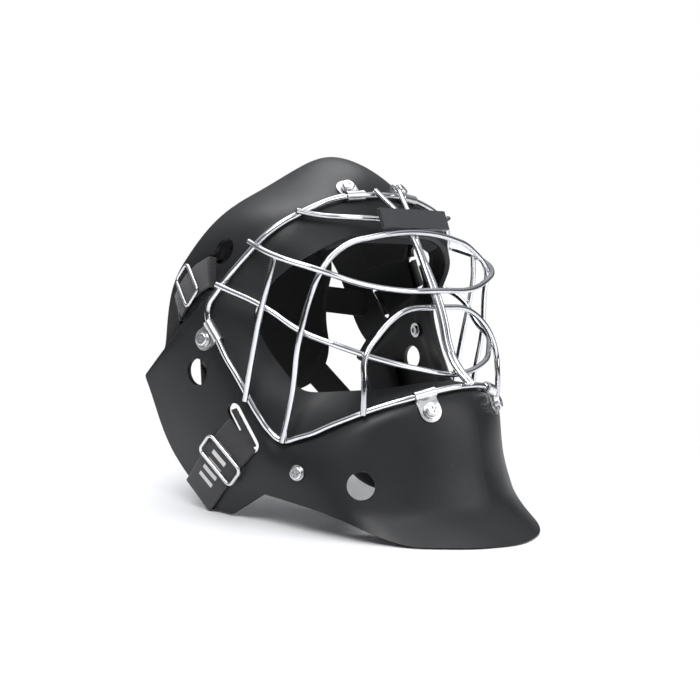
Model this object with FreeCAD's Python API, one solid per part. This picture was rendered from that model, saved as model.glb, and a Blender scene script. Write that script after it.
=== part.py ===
import FreeCAD, Part
import math
import os
from FreeCAD import Vector

# ---------------------------------------------------------------- overall size (mm)
MASK_WIDTH = 236.0
MASK_LENGTH = 292.0
MASK_HEIGHT = 258.0
WALL = 3.6
SEAT = 0.3

# ---------------------------------------------------------------- cage (mm)
CAGE_WIRE = 4.0
FRAME_WIRE = 4.4
WELD_GAP = 0.4
FRAME_CLEARANCE = 1.0
END_OVERHANG = 1.0
BADGE_WIDTH = 70.0
BADGE_HEIGHT = 14.5
BADGE_THICK = 3.0

# ---------------------------------------------------------------- clips and screws (mm)
CLIP_WIDTH = 16.0
CLIP_THICK = 1.0
CLIP_REACH = {"top": 9.4, "side": 9.4, "chin": 12.5}
CLIP_BORE_GAP = 0.4
CLIP_STEP = 0.1
WASHER_RADIUS = 5.4
WASHER_THICK = 1.0
WASHER_LIFT = 0.6
HEAD_RADIUS = 4.6
HEAD_HEIGHT = 2.6
SHANK_RADIUS = 2.0
HOLE_CLEARANCE = 0.3
NUT_RADIUS = 6.0
NUT_THICK = 1.6
NUT_SINK = 1.1

# ---------------------------------------------------------------- openings in the wall (mm)
VENT_DIAMETER = 19.0
SLOT_WIDTH = 11.0
REAR_SLOT_WIDTH = 6.0
LOWER_SLOT_LENGTH = 38.0
UPPER_SLOT_LENGTH = 28.0

# ---------------------------------------------------------------- webbing and wire buckles (mm)
LOWER_STRAP_WIDTH = 30.0
UPPER_STRAP_WIDTH = 22.0
CROWN_STRAP_WIDTH = 22.0
STRAP_THICK = 1.8
STRAP_LIFT = 0.8
BUCKLE_WIRE = 2.6
BUCKLE_MARGIN = 2.4
BUCKLE_LENGTH = 18.0

# ---------------------------------------------------------------- lining and back plate (mm)
LINER_THICK = 9.0
LINER_GAP = 0.7
BROW_PAD_THICK = 11.0
PLATE_RADIUS = 106.0
PLATE_WALL = 3.0
PLATE_WIDTH = 138.0
PLATE_HEIGHT = 134.0
PLATE_CENTRE_UP = 138.0
PLATE_CORNER = 45.0
PLATE_HOLE_WIDTH = 34.0
PLATE_HOLE_HEIGHT = 22.0
PLATE_PIVOT = (0, 129.5, 221)
CUP_CENTRE = (0, -22, 52)
CUP_RADIUS = 36.0
CUP_WALL = 5.0
SLING_WIDTH = 18.0
SLING_GAP = 1.5

# The moulded surface: nineteen half sections drawn at 236 x 292 x 258, each running from the face
# opening outwards. Columns: opening rim, dish, dish edge, cage line, shoulder, four on the body,
# and one past the trimmed edge. Values are outboard, rearward, up.
DRAWN_SIZE = (236.0, 292.0, 258.0)
CAGE_COLUMN = 3
SECTIONS = [
    # crown centre line
    [(0, -20, 201), (0, -14.5, 212), (0, -9.5, 222), (0, -6, 228), (0, -1, 235),
     (0, 12, 247.5), (0, 38, 257), (0, 64, 254.5), (0, 94, 237), (0, 138, 215)],
    # flank of the crest
    [(22, -20, 201), (22, -14, 212), (22, -8, 221.5), (22, -3.5, 226.5), (22, 1, 232.5),
     (23, 13, 242.5), (22.5, 38, 251), (21, 64, 248.5), (18, 96, 234), (15, 138, 213)],
    # foot of the crest
    [(42, -20, 200.5), (41, -13, 211), (41, -6, 220), (42, -1.5, 223.5), (43, 4, 227),
     (45, 16, 231.5), (44, 40, 235), (40, 68, 234), (34, 98, 227), (27, 138, 207)],
    # brow
    [(61, -16, 194), (63.5, -10, 202), (66, -3.5, 211), (68, 1, 215), (70, 7, 218.5),
     (73, 21, 221.5), (74, 44, 223.5), (71, 70, 220), (62.5, 100, 210.5), (48, 138, 190)],
    # upper temple
    [(82, -5, 181), (85, -1, 188), (88.5, 4.5, 196.5), (90.5, 10, 202), (94, 16, 203.5),
     (97, 29, 204.5), (98, 50, 203.5), (94.5, 74, 198.5), (85, 101, 190), (65, 137, 174)],
    # temple
    [(93, 9.5, 165), (96.5, 14, 169), (101, 20, 173), (106, 28.5, 176.5), (109.5, 35, 175.5),
     (110.5, 47, 173.5), (110, 64, 170), (107.5, 83, 165), (101, 104, 158.5), (86, 137, 147)],
    # dome just above the step
    [(96, 19, 149.5), (99.5, 24, 152.5), (104, 31, 155.5), (110, 42.5, 159.5), (112, 49.5, 156),
     (111.5, 58, 150.5), (110.5, 71, 141), (109, 86, 129.5), (107, 103, 115.5), (100, 131, 93)],
    # side panel just below the step
    [(96, 22, 140.5), (99.5, 28, 142), (104.5, 36, 144), (111.5, 50.5, 147), (115, 56.5, 144),
     (116.5, 64, 139), (117.5, 75.5, 130), (118, 90, 117.5), (117.5, 107, 102.5), (115.5, 133, 79)],
    # middle of the side panel
    [(92, 12, 121), (96.5, 18, 121), (102.5, 25, 120), (110.5, 37.5, 119), (114.5, 45, 116.5),
     (116.5, 56, 112), (118, 70, 106), (118, 88, 98), (117, 106, 89), (114.5, 134, 66)],
    # lower side panel
    [(87, 2, 108), (92, 7, 106), (99, 13, 102), (107, 20.5, 96), (111.5, 28, 92.5),
     (114, 40, 87.5), (115.5, 56, 80.5), (115.5, 74, 71.5), (114, 93, 61), (110.5, 122, 44)],
    # towards the rear lower corner
    [(83, -6, 98), (88, -2, 94), (95, 2, 88), (102.5, 8, 76.5), (107.5, 15, 71),
     (110.5, 27, 63.5), (111.5, 42, 54), (110.5, 57, 43), (107.5, 74, 30), (103, 98, 12)],
    # rear lower corner
    [(80, -11, 94), (85, -8.5, 88), (91, -6, 79.5), (98, 0, 65), (103.5, 5, 58),
     (105.5, 13, 49), (106, 23, 38), (104.5, 34, 26), (101.5, 46, 11), (98, 60, -8)],
    # lower corner of the cage
    [(76, -16, 92), (81, -14.5, 84), (88, -12.5, 73), (95, -8.5, 58.5), (100, -8, 51),
     (102, -5, 43), (102, -1, 34), (101, 4, 25), (99, 10, 13), (97, 18, -4)],
    # jaw
    [(68, -24.5, 92.5), (74, -24, 85), (81, -25, 75), (89.5, -26, 62), (94, -29, 56),
     (97, -32, 46), (98, -34, 36), (97, -37, 26), (95.5, -40, 15), (93, -46, 2)],
    # cheek of the chin
    [(58, -33, 93.5), (64, -36, 88), (71, -41.5, 80), (77.5, -47, 73), (81.5, -51, 67),
     (85, -55, 54), (87, -58, 39), (87, -64, 24), (86, -72, 11), (83, -86, -3)],
    # side of the chin
    [(44, -42, 94.5), (49, -47.5, 92), (56, -55.5, 88.5), (62.5, -65, 83), (66.5, -70, 77),
     (68, -71.5, 60), (70, -74, 40), (70.5, -83, 21), (68.5, -93, 8), (66, -115, -4)],
    # chin
    [(28, -54.5, 97), (31, -61.5, 97), (35.5, -71.5, 96), (39, -81, 91.5), (41, -86.5, 85),
     (42, -90, 66), (43, -94, 45), (43, -101.5, 25), (42.5, -112, 10.5), (40.5, -138, -4)],
    # beside the chin centre line
    [(14, -63, 100), (15.5, -70, 100), (17.5, -78.5, 99), (19.5, -86.5, 95.5), (20.5, -93.5, 88),
     (21, -100, 68), (21.5, -104.5, 46), (21.5, -112, 26), (21, -123.5, 11), (20, -147, -4)],
    # chin centre line
    [(0, -72, 101), (0, -77, 101), (0, -83, 100.5), (0, -89, 97), (0, -96, 90),
     (0, -104.5, 69), (0, -109, 46.5), (0, -116.5, 26.5), (0, -127.5, 11.5), (0, -151, -4)],
]


def place(outboard, rearward, up):
    """A drawn point on the wearer's right side, stretched to the mask's size."""
    return Vector(
        -outboard * MASK_WIDTH / DRAWN_SIZE[0],
        rearward * MASK_LENGTH / DRAWN_SIZE[1],
        up * MASK_HEIGHT / DRAWN_SIZE[2],
    )


def mirrored(shape):
    return shape.mirror(Vector(0, 0, 0), Vector(1, 0, 0))


def flipped(point):
    return Vector(-point.x, point.y, point.z)


def knots_for(count):
    """Knots and multiplicities of an even cubic curve with the given number of control points."""
    inner = count - 4
    return [k / (inner + 1) for k in range(inner + 2)], [4] + [1] * inner + [4]


def surface_from(lattice):
    """A cubic surface steered by a lattice of control points."""
    u_knots, u_mults = knots_for(len(lattice))
    v_knots, v_mults = knots_for(len(lattice[0]))
    surface = Part.BSplineSurface()
    surface.buildFromPolesMultsKnots(
        lattice, u_mults, v_mults, u_knots, v_knots, False, False, 3, 3
    )
    return surface


def control_places(count):
    """Where on the surface each control point has most pull."""
    knots, mults = knots_for(count)
    spread = [knot for knot, times in zip(knots, mults) for _ in range(times)]
    return [sum(spread[k + 1:k + 4]) / 3 for k in range(count)]


def beside(section, next_section):
    """A section level with a centre line, a third of the way to the next."""
    return [Vector(p.x + (q.x - p.x) / 3, p.y, p.z) for p, q in zip(section, next_section)]


def moulded_lattice():
    """Control points of half the outer surface, from the crown to the chin."""
    drawn = [[place(*point) for point in section] for section in SECTIONS]
    first = [drawn[0], beside(drawn[0], drawn[1])]
    last = [beside(drawn[-1], drawn[-2]), drawn[-1]]
    sections = first + drawn[1:-1] + last
    drawn_surface = surface_from(sections)
    along, outwards_by = control_places(len(sections)), control_places(len(sections[0]))
    lattice = []
    for row, u in zip(sections, along):
        # a control point stands off as far again as the surface falls short of its section
        lattice.append([p * 2 - drawn_surface.value(u, v) for p, v in zip(row, outwards_by)])
    for edge, near_edge in ((0, 1), (-1, -2)):
        for j, point in enumerate(lattice[edge]):
            point.x = 0.0
            lattice[near_edge][j] = Vector(lattice[near_edge][j].x, point.y, point.z)
    return lattice


def lattice_normals(lattice):
    normals = []
    last_i, last_j = len(lattice) - 1, len(lattice[0]) - 1
    for i, row in enumerate(lattice):
        line = []
        for j in range(len(row)):
            if i == 0:
                along = Vector(-1, 0, 0)
            elif i == last_i:
                along = Vector(1, 0, 0)
            else:
                along = lattice[i + 1][j] - lattice[i - 1][j]
            outwards = row[min(j + 1, last_j)] - row[max(j - 1, 0)]
            normal = outwards.cross(along)
            normal.normalize()
            line.append(normal)
        normals.append(line)
    return normals


LATTICE = moulded_lattice()
NORMALS = lattice_normals(LATTICE)


def skin_at(height):
    """Half of the moulded surface, raised over the outer skin or sunk below it."""
    return surface_from([
        [point + normal * height for point, normal in zip(row, line)]
        for row, line in zip(LATTICE, NORMALS)
    ])


OUTER = skin_at(0)
INNER = skin_at(-WALL)


def block_between(near, far):
    """A solid closed between two surfaces that share their parameters."""
    faces = [near.toShape(), far.toShape()]
    u0, u1, v0, v1 = near.bounds()
    for u in (u0, u1):
        faces.append(Part.makeRuledSurface(near.uIso(u).toShape(), far.uIso(u).toShape()))
    for v in (v0, v1):
        faces.append(Part.makeRuledSurface(near.vIso(v).toShape(), far.vIso(v).toShape()))
    return solid_of(faces)


def solid_of(faces):
    """The solid that a closed set of faces bounds."""
    skin = Part.makeShell(faces)
    skin.sewShape()
    skin.fix(0.01, 0.01, 0.01)
    solid = Part.makeSolid(Part.Shell(skin.Faces))
    if solid.Volume < 0:
        solid.reverse()
    return solid


def half_surface_point(point):
    """The nearest place on the outer skin and the direction that points out of it."""
    u, v = OUTER.parameter(point)
    normal = OUTER.normal(u, v)
    surface_point = OUTER.value(u, v)
    inner_u, inner_v = INNER.parameter(surface_point)
    if normal.dot(surface_point - INNER.value(inner_u, inner_v)) < 0:
        normal = normal * -1
    return surface_point, normal


def skin_frame(outboard, rearward, up, towards):
    """Origin, outward direction, direction towards a second place, and the one across."""
    origin, normal = half_surface_point(place(outboard, rearward, up))
    ahead = place(*towards) - origin
    ahead = ahead - normal * ahead.dot(normal)
    ahead.normalize()
    return origin, normal, ahead, normal.cross(ahead)


# ---------------------------------------------------------------- the moulded shell
def extruded_profile(edges, depth):
    """A side view drawn in the centre plane, carried across the mask."""
    face = Part.Face(Part.Wire(edges))
    return face.extrude(Vector(2 * depth, 0, 0))


def side(rearward, up):
    point = place(0, rearward, up)
    return Vector(-MASK_WIDTH, point.y, point.z)


def curve(points):
    spline = Part.BSplineCurve()
    spline.interpolate(points)
    return spline


def side_outline():
    """Everything inside the mask's side view: floor, notch, ear and rear edge of the dome."""
    hem = [side(-108, 0), side(-88, 4.5), side(-62, 13), side(-26, 18.5), side(3, 20.5)]
    notch = [side(3, 20.5), side(37, 0), side(56, 0)]
    ear = [side(56, 0), side(75, 19), side(94, 42), side(105, 67), side(117, 94)]
    step = [side(117, 94), side(104, 111)]
    dome = [side(104, 111), side(115, 144), side(118, 175), side(119, 207), side(129, 236)]
    box = [side(129, 236), side(129, 300), side(-200, 300), side(-200, 0), side(-108, 0)]
    edges = [curve(hem).toShape()]
    edges += [Part.makeLine(a, b) for a, b in zip(notch, notch[1:])]
    edges += [curve(ear).toShape()]
    edges += [Part.makeLine(step[0], step[1])]
    edges += [curve(dome).toShape()]
    edges += [Part.makeLine(a, b) for a, b in zip(box, box[1:])]
    prism = extruded_profile(edges, MASK_WIDTH)
    corners = ((side(3, 20.5), 12.0), (side(56, 0), 9.0), (side(37, 0), 3.0), (side(117, 94), 4.0))
    for corner, radius in corners:
        across = [
            edge for edge in prism.Edges
            if len(edge.Vertexes) == 2
            and all(abs(v.Y - corner.y) < 0.01 and abs(v.Z - corner.z) < 0.01 for v in edge.Vertexes)
        ]
        prism = prism.makeFillet(radius, across)
    return prism


VENTS = {
    "temple": (106, 44.5, 186),
    "side": (116.6, 57.4, 100.4),
    "chin": (78.1, -68.9, 35.4),
}
LOWER_SLOT = (107.6, 17, 65)
LOWER_SLOT_END = (104.8, 9, 51.9)
UPPER_SLOT = (109.5, 52.5, 171)
UPPER_SLOT_END = (110.6, 49.5, 160)
REAR_SLOT = (108, 89, 144)
REAR_SLOT_END = (110, 84.5, 135)
JAW_SCREW = (98.4, -29.5, 40.1)
CLIPS = {
    "top": ((28, -2, 228), (28, 8, 238)),
    "side": ((112, 45, 129), (119, 62, 118)),
    "chin": ((36, -86, 94), (38, -92, 78)),
}


def drill(place_on_skin, diameter):
    origin, normal = half_surface_point(place(*place_on_skin))
    return Part.makeCylinder(diameter / 2, 6 * WALL, origin + normal * 3 * WALL, normal * -1)


def slot_cutter(centre, end, length, width):
    origin, normal, ahead, across = skin_frame(*centre, end)
    reach = (length - width) / 2
    start = origin + normal * 3 * WALL
    cutter = None
    for side_sign in (-1, 1):
        round_end = Part.makeCylinder(width / 2, 6 * WALL, start + ahead * reach * side_sign, normal * -1)
        cutter = round_end if cutter is None else cutter.fuse(round_end)
    corners = [
        start + ahead * reach * a + across * width / 2 * b
        for a, b in ((-1, -1), (1, -1), (1, 1), (-1, 1), (-1, -1))
    ]
    middle = Part.Face(Part.makePolygon(corners)).extrude(normal * -6 * WALL)
    return cutter.fuse(middle).removeSplitter()


def wall_openings():
    cutters = [drill(where, VENT_DIAMETER) for where in VENTS.values()]
    screw_hole = 2 * (SHANK_RADIUS + HOLE_CLEARANCE)
    cutters.append(drill(JAW_SCREW, screw_hole))
    cutters += [drill(clip_screw_place(name), screw_hole) for name in CLIPS]
    cutters.append(slot_cutter(LOWER_SLOT, LOWER_SLOT_END, LOWER_SLOT_LENGTH, SLOT_WIDTH))
    cutters.append(slot_cutter(UPPER_SLOT, UPPER_SLOT_END, UPPER_SLOT_LENGTH, SLOT_WIDTH))
    cutters.append(slot_cutter(REAR_SLOT, REAR_SLOT_END, UPPER_SLOT_LENGTH, REAR_SLOT_WIDTH))
    return cutters


def build_shell():
    half = block_between(OUTER, INNER)
    for cutter in wall_openings():
        half = half.cut(cutter)
    half = half.common(side_outline())
    return half.fuse(mirrored(half))


# ---------------------------------------------------------------- bent wire
def line_directions(points):
    """The way a smooth line runs at each of its points."""
    directions = []
    last = len(points) - 1
    for k in range(len(points)):
        before = points[k] - points[k - 1] if k else points[1] - points[0]
        after = points[k + 1] - points[k] if k < last else points[-1] - points[-2]
        direction = before * (1 / before.Length**2) + after * (1 / after.Length**2)
        direction.normalize()
        directions.append(direction)
    return directions


def tangent_arcs(points, directions):
    """Arcs as (start, direction, end), two to each span, that leave every point its own way."""
    arcs = []
    for k in range(len(points) - 1):
        start, end = points[k], points[k + 1]
        leave, arrive = directions[k], directions[k + 1]
        span = end - start
        along = span.dot(leave + arrive)
        turn = 2 * (1 - leave.dot(arrive))
        reach = span.dot(span) / (along + math.sqrt(along**2 + turn * span.dot(span)))
        first_pull, last_pull = start + leave * reach, end - arrive * reach
        middle = (first_pull + last_pull) * 0.5
        passing = last_pull - first_pull
        passing.normalize()
        arcs += [(start, leave, middle), (middle, passing, end)]
    return arcs


def sideways(direction, chord):
    """The part of a direction that leaves its chord."""
    chord_way = chord * (1 / chord.Length)
    return direction - chord_way * direction.dot(chord_way)


def arc_edge(start, direction, end):
    """The centre line of one arc."""
    chord = end - start
    aside = sideways(direction, chord)
    if aside.Length < 1e-4:
        return Part.makeLine(start, end)
    rise = chord.Length / 2 * math.tan(math.asin(min(aside.Length, 1.0)) / 2)
    aside.normalize()
    return Part.Arc(start, (start + end) * 0.5 + aside * rise, end).toShape()


def arc_tube(ring, start, direction, end):
    """The skin of a round bar along one arc, and the ring that it ends on."""
    chord = end - start
    aside = chord - direction * chord.dot(direction)
    last_ring = ring.copy()
    if aside.Length < 1e-4 * chord.Length:
        last_ring.translate(chord)
        return ring.extrude(chord), last_ring
    bend = math.atan2(aside.Length, chord.dot(direction))
    reach = chord.Length / (2 * math.sin(bend))
    aside.normalize()
    axis = direction.cross(aside)
    centre = start + aside * reach
    last_ring.rotate(centre, axis, math.degrees(2 * bend))
    return ring.revolve(centre, axis, math.degrees(2 * bend)), last_ring


def round_bar(points, directions, diameter, closed=False):
    """A bar bent from tangent arcs."""
    first_ring = Part.makeCircle(diameter / 2, points[0], directions[0])
    ring = first_ring
    faces = []
    for arc in tangent_arcs(points, directions):
        face, ring = arc_tube(ring, *arc)
        faces.append(face)
    if not closed:
        faces += [Part.Face(Part.Wire(end_ring)) for end_ring in (first_ring, ring)]
    return solid_of(faces)


def wire(points, diameter):
    """A round bar bent smoothly through the points."""
    return round_bar(points, line_directions(points), diameter)


# ---------------------------------------------------------------- the wire cage
FRAME_LINE = [section[CAGE_COLUMN] for section in SECTIONS]
FRAME_LIFT = FRAME_WIRE / 2 + FRAME_CLEARANCE
LAYER = CAGE_WIRE + WELD_GAP
STACK = (FRAME_WIRE + CAGE_WIRE) / 2 + WELD_GAP
FORWARD = Vector(0, -1, 0)
CENTRE_WAY = Vector(0, -0.89, 0.456)


def frame_loop():
    """The perimeter wire's points, all round, and the way it runs at each."""
    near_side = []
    for spot in FRAME_LINE:
        skin_point, normal = half_surface_point(place(*spot))
        near_side.append(skin_point + normal * FRAME_LIFT)
    near_side[0].x = 0.0
    near_side[-1].x = 0.0
    points = near_side + [flipped(p) for p in reversed(near_side[:-1])]
    directions = line_directions(points)
    directions[0] = Vector(-1, 0, 0)
    directions[-1] = Vector(-1, 0, 0)
    return points, directions


FRAME_POINTS, FRAME_DIRECTIONS = frame_loop()
FRAME_CENTRE = Part.Wire([arc_edge(*arc) for arc in tangent_arcs(FRAME_POINTS, FRAME_DIRECTIONS)])


def build_frame(diameter=FRAME_WIRE):
    """The perimeter wire, bent round the face opening and closed on itself."""
    return round_bar(FRAME_POINTS, FRAME_DIRECTIONS, diameter, closed=True)


def nearest_on_frame(target):
    """The closest place on the perimeter wire's centre line, and the way the wire runs there."""
    nearest = Part.Vertex(target).distToShape(FRAME_CENTRE)[1][0][1]
    ways = []
    for edge in FRAME_CENTRE.Edges:
        parameter = edge.Curve.parameter(nearest)
        ways.append(((edge.Curve.value(parameter) - nearest).Length, edge.Curve, parameter))
    gap, line, parameter = min(ways, key=lambda way: way[0])
    return nearest, line.tangent(parameter)[0]


def on_frame(spot, next_point, way=None):
    """Where the centre line of a bar from next_point crosses over the perimeter wire."""
    centre, tangent = nearest_on_frame(place(*spot))
    over = tangent.cross(next_point - centre)
    over.normalize()
    outer_way = way if way else half_surface_point(centre)[1]
    if over.dot(outer_way) < 0:
        over = over * -1
    return centre + over * STACK


def outwards(point):
    """Away from the middle of the head, as the cage's layers are stacked."""
    direction = Vector(point.x, point.y - 0.27 * MASK_LENGTH / 2, 0.25 * (point.z - 0.5 * MASK_HEIGHT))
    direction.normalize()
    return direction


def layered(spot, layer):
    point = place(*spot)
    way = CENTRE_WAY if point.x == 0 else outwards(point)
    return point + way * layer * LAYER


def both_sides(near_points, middle=None):
    """A line drawn on one side, carried over the centre plane to the other."""
    centre = [] if middle is None else [middle]
    return near_points + centre + [flipped(p) for p in reversed(near_points)]


# where two bars cross: the middle layer's place
UPPER_EYE = (89, -35, 176)
UPPER_SIDE = (106, -8, 185)
LOWER_SIDE = (111, -2, 150)
LOWER_EYE = (98, -27, 135)
LOWER_ARCH = (70, -61, 121)
CENTRE_BROW = (0, -30.5, 212.5)
CENTRE_TOP = (0, -37, 202)
CENTRE_UPPER = (0, -60, 162)
CENTRE_ARCH = (0, -64.5, 154)
CENTRE_LOWER = (0, -86, 109)


def from_frame(spot, points, overhang, way=None):
    """A bar's line that starts over the perimeter wire, with its end run a little past it."""
    crossing = on_frame(spot, points[0], way)
    past = crossing - points[0]
    past.normalize()
    return [crossing + past * overhang] + points


def cage_bars():
    upper = from_frame(
        (102, 19, 192),
        [layered(UPPER_SIDE, 1), layered(UPPER_EYE, 1), place(65, -51, 168), place(35, -61, 164)],
        END_OVERHANG,
    )
    lower = from_frame(
        (113, 39, 163),
        [
            layered(LOWER_SIDE, -1),
            layered(LOWER_EYE, -1),
            place(84, -43, 128),
            layered(LOWER_ARCH, -1),
            place(40, -75, 113),
        ],
        END_OVERHANG,
    )
    brow = from_frame(
        (79, 0, 214),
        [place(65, -9, 213), place(48, -17, 212.5), place(30, -23, 212.5)],
        END_OVERHANG,
    )
    eye = from_frame(
        (96, -14, 57),
        [
            place(98, -20, 88),
            layered(LOWER_EYE, 0),
            place(94, -30, 157),
            layered(UPPER_EYE, 0),
            place(66, -36, 194),
            place(42, -39, 200),
        ],
        0,
        FORWARD,
    )
    arch = from_frame(
        (70, -61, 81),
        [place(72.5, -63, 100), layered(LOWER_ARCH, 0), place(60, -62, 134), place(42, -62, 147)],
        0,
        FORWARD,
    )
    side_bar = from_frame(
        (108, 14, 84),
        [place(111.5, 4, 122), layered(LOWER_SIDE, 0), place(109.5, -6, 168), layered(UPPER_SIDE, 0)],
        0,
        FORWARD,
    )
    side_bar[-1] = side_bar[-1] + Vector(0, 0, CAGE_WIRE / 2)
    return {
        "cage_upper_bar": wire(both_sides(upper, layered(CENTRE_UPPER, 1)), CAGE_WIRE),
        "cage_lower_bar": wire(both_sides(lower, layered(CENTRE_LOWER, -1)), CAGE_WIRE),
        "cage_brow_bar": wire(both_sides(brow, layered(CENTRE_BROW, -1)), CAGE_WIRE),
        "cage_eye_wire": wire(both_sides(eye, layered(CENTRE_TOP, 1)), CAGE_WIRE),
        "cage_chin_arch": wire(both_sides(arch, layered(CENTRE_ARCH, -1)), CAGE_WIRE),
        "cage_side_bar_right": wire(side_bar, CAGE_WIRE),
        "cage_side_bar_left": mirrored(wire(side_bar, CAGE_WIRE)),
    }


def centre_wires():
    """The pair of bars down the middle, splayed into a V where they meet the crown."""
    beside_centre = CAGE_WIRE / 2 + WELD_GAP / 2
    straight = [layered(spot, 0) for spot in (CENTRE_BROW, CENTRE_TOP, CENTRE_UPPER, CENTRE_LOWER)]
    straight.append(on_frame((0, -95, 97), straight[-1], FORWARD))
    points = [Vector(-beside_centre, p.y, p.z) for p in straight]
    points[0].x = -2 * beside_centre
    points.insert(0, on_frame((12.5, -8.5, 228.5), points[0]))
    right = wire(points, CAGE_WIRE)
    return Part.makeCompound([right, mirrored(right)])


def badge_plate():
    """A bare plate on the front of the cage, leaning back with the brow."""
    low = place(0, -38.5, 206.5)
    high = place(0, -33.5, 218)
    lean = high - low
    lean.normalize()
    middle = (low + high) * 0.5
    box = Part.makeBox(BADGE_WIDTH, BADGE_THICK, BADGE_HEIGHT)
    box = box.makeFillet(0.8, [e for e in box.Edges if abs(e.Vertexes[0].Y - e.Vertexes[-1].Y) > 1])
    box.translate(Vector(-BADGE_WIDTH / 2, -BADGE_THICK, -BADGE_HEIGHT / 2))
    angle = -math.degrees(math.atan2(lean.y, lean.z))
    box.rotate(Vector(0, 0, 0), Vector(1, 0, 0), angle)
    box.translate(middle)
    return box


# ---------------------------------------------------------------- clips, screws and nuts
def blade(stations, width, reach):
    """An upright slab, lofted through (centre, across, up) stations, that cuts a strip out of a skin."""
    outlines = []
    for centre, across, up in stations:
        corners = [
            centre + across * width / 2 * a + up * reach * b
            for a, b in ((-1, -1), (1, -1), (1, 1), (-1, 1), (-1, -1))
        ]
        outlines.append(Part.makePolygon(corners))
    return Part.makeLoft(outlines, True, True)


def clip_frame(name):
    """The wire's centre, outward, away from the opening, and along the wire."""
    spot, towards = CLIPS[name]
    centre, along = nearest_on_frame(place(*spot))
    skin_point, normal = half_surface_point(centre)
    away = normal.cross(along)
    away.normalize()
    if away.dot(place(*towards) - skin_point) < 0:
        away = away * -1
    return skin_point, normal, away, normal.cross(away)


def clip_screw_place(name):
    """Drawn coordinates of the screw, so that holes and screws share one place."""
    skin_point, normal, away, along = clip_frame(name)
    spot = skin_point + away * CLIP_REACH[name]
    return (
        -spot.x * DRAWN_SIZE[0] / MASK_WIDTH,
        spot.y * DRAWN_SIZE[1] / MASK_LENGTH,
        spot.z * DRAWN_SIZE[2] / MASK_HEIGHT,
    )


def build_clip(name, tab_skin, neck_skin, wall_skin, frame_bore):
    """A strip bent over the wire, with a rounded tab that follows the shell to its screw."""
    skin_point, normal, away, along = clip_frame(name)
    screw_point, screw_up = half_surface_point(skin_point + away * CLIP_REACH[name])
    tab_width = CLIP_WIDTH - 2 * CLIP_STEP
    outline = blade([(skin_point, along, normal), (screw_point, along, screw_up)], tab_width, 8)
    rounded = Part.makeCylinder(tab_width / 2, 16, screw_point - screw_up * 8, screw_up)
    tab = tab_skin.common(outline.fuse(rounded))
    centre = skin_point + normal * FRAME_LIFT
    rim = FRAME_WIRE / 2 + CLIP_BORE_GAP + CLIP_THICK
    hook = Part.makeCylinder(rim, CLIP_WIDTH, centre - along * CLIP_WIDTH / 2, along)
    neck_end = (skin_point + away * rim, along, normal)
    neck = neck_skin.common(blade([(skin_point, along, normal), neck_end], CLIP_WIDTH - 4 * CLIP_STEP, 8))
    clip = hook.cut(wall_skin).fuse(neck).fuse(tab).cut(frame_bore)
    hole = Part.makeCylinder(SHANK_RADIUS + HOLE_CLEARANCE, 20, screw_point - screw_up * 10, screw_up)
    pieces = clip.cut(hole).Solids
    return max(pieces, key=lambda piece: piece.Volume)


def clips():
    """The clips on both sides, bored to the perimeter wire and shaped to the shell."""
    tab_skin = block_between(skin_at(SEAT + CLIP_THICK), skin_at(SEAT))
    neck_skin = block_between(skin_at(FRAME_LIFT), skin_at(SEAT + 2 * CLIP_STEP))
    wall_skin = block_between(skin_at(SEAT + CLIP_STEP), INNER)
    frame_bore = build_frame(FRAME_WIRE + 2 * CLIP_BORE_GAP)
    parts = {}
    for name in CLIPS:
        clip = build_clip(name, tab_skin, neck_skin, wall_skin, frame_bore)
        parts[f"clip_{name}_right"] = clip
        parts[f"clip_{name}_left"] = mirrored(clip)
    return parts


def screw(origin, normal, standing, through):
    """A washer and a domed head, with a shank through the wall."""
    base = origin + normal * standing
    washer = Part.makeCylinder(WASHER_RADIUS, WASHER_THICK, base, normal)
    washer = washer.cut(
        Part.makeCylinder(SHANK_RADIUS + HOLE_CLEARANCE / 2, 2 * WASHER_THICK, base, normal)
    )
    seat = base + normal * (WASHER_THICK + 0.05)
    head = Part.makeCylinder(HEAD_RADIUS, HEAD_HEIGHT, seat, normal)
    top = [e for e in head.Edges if e.BoundBox.Center.distanceToPoint(seat + normal * HEAD_HEIGHT) < 0.1]
    head = head.makeFillet(HEAD_HEIGHT * 0.45, top)
    shank = Part.makeCylinder(SHANK_RADIUS, through, seat + normal * 0.2, normal * -1)
    slot = Part.makeBox(0.9, 5.0, 1.2, Vector(-0.45, -2.5, 0))
    cross = slot.fuse(slot.copy().rotate(Vector(0, 0, 0), Vector(0, 0, 1), 90))
    cross.Placement = FreeCAD.Placement(Vector(0, 0, 0), FreeCAD.Rotation(Vector(0, 0, 1), normal))
    cross.translate(seat + normal * (HEAD_HEIGHT - 1.0))
    return washer, head.fuse(shank).cut(cross)


def nut(origin, normal):
    """A flanged nut against the inside of the wall."""
    depth = (origin - INNER.value(*INNER.parameter(origin))).Length + NUT_SINK
    base = origin - normal * depth
    flange = Part.makeCylinder(NUT_RADIUS, NUT_THICK, base, normal * -1)
    barrel = Part.makeCylinder(NUT_RADIUS / 2 + 0.6, NUT_THICK * 2, base, normal * -1)
    bore = Part.makeCylinder(SHANK_RADIUS + HOLE_CLEARANCE / 2, NUT_THICK * 3, base, normal * -1)
    return flange.fuse(barrel).cut(bore)


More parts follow.
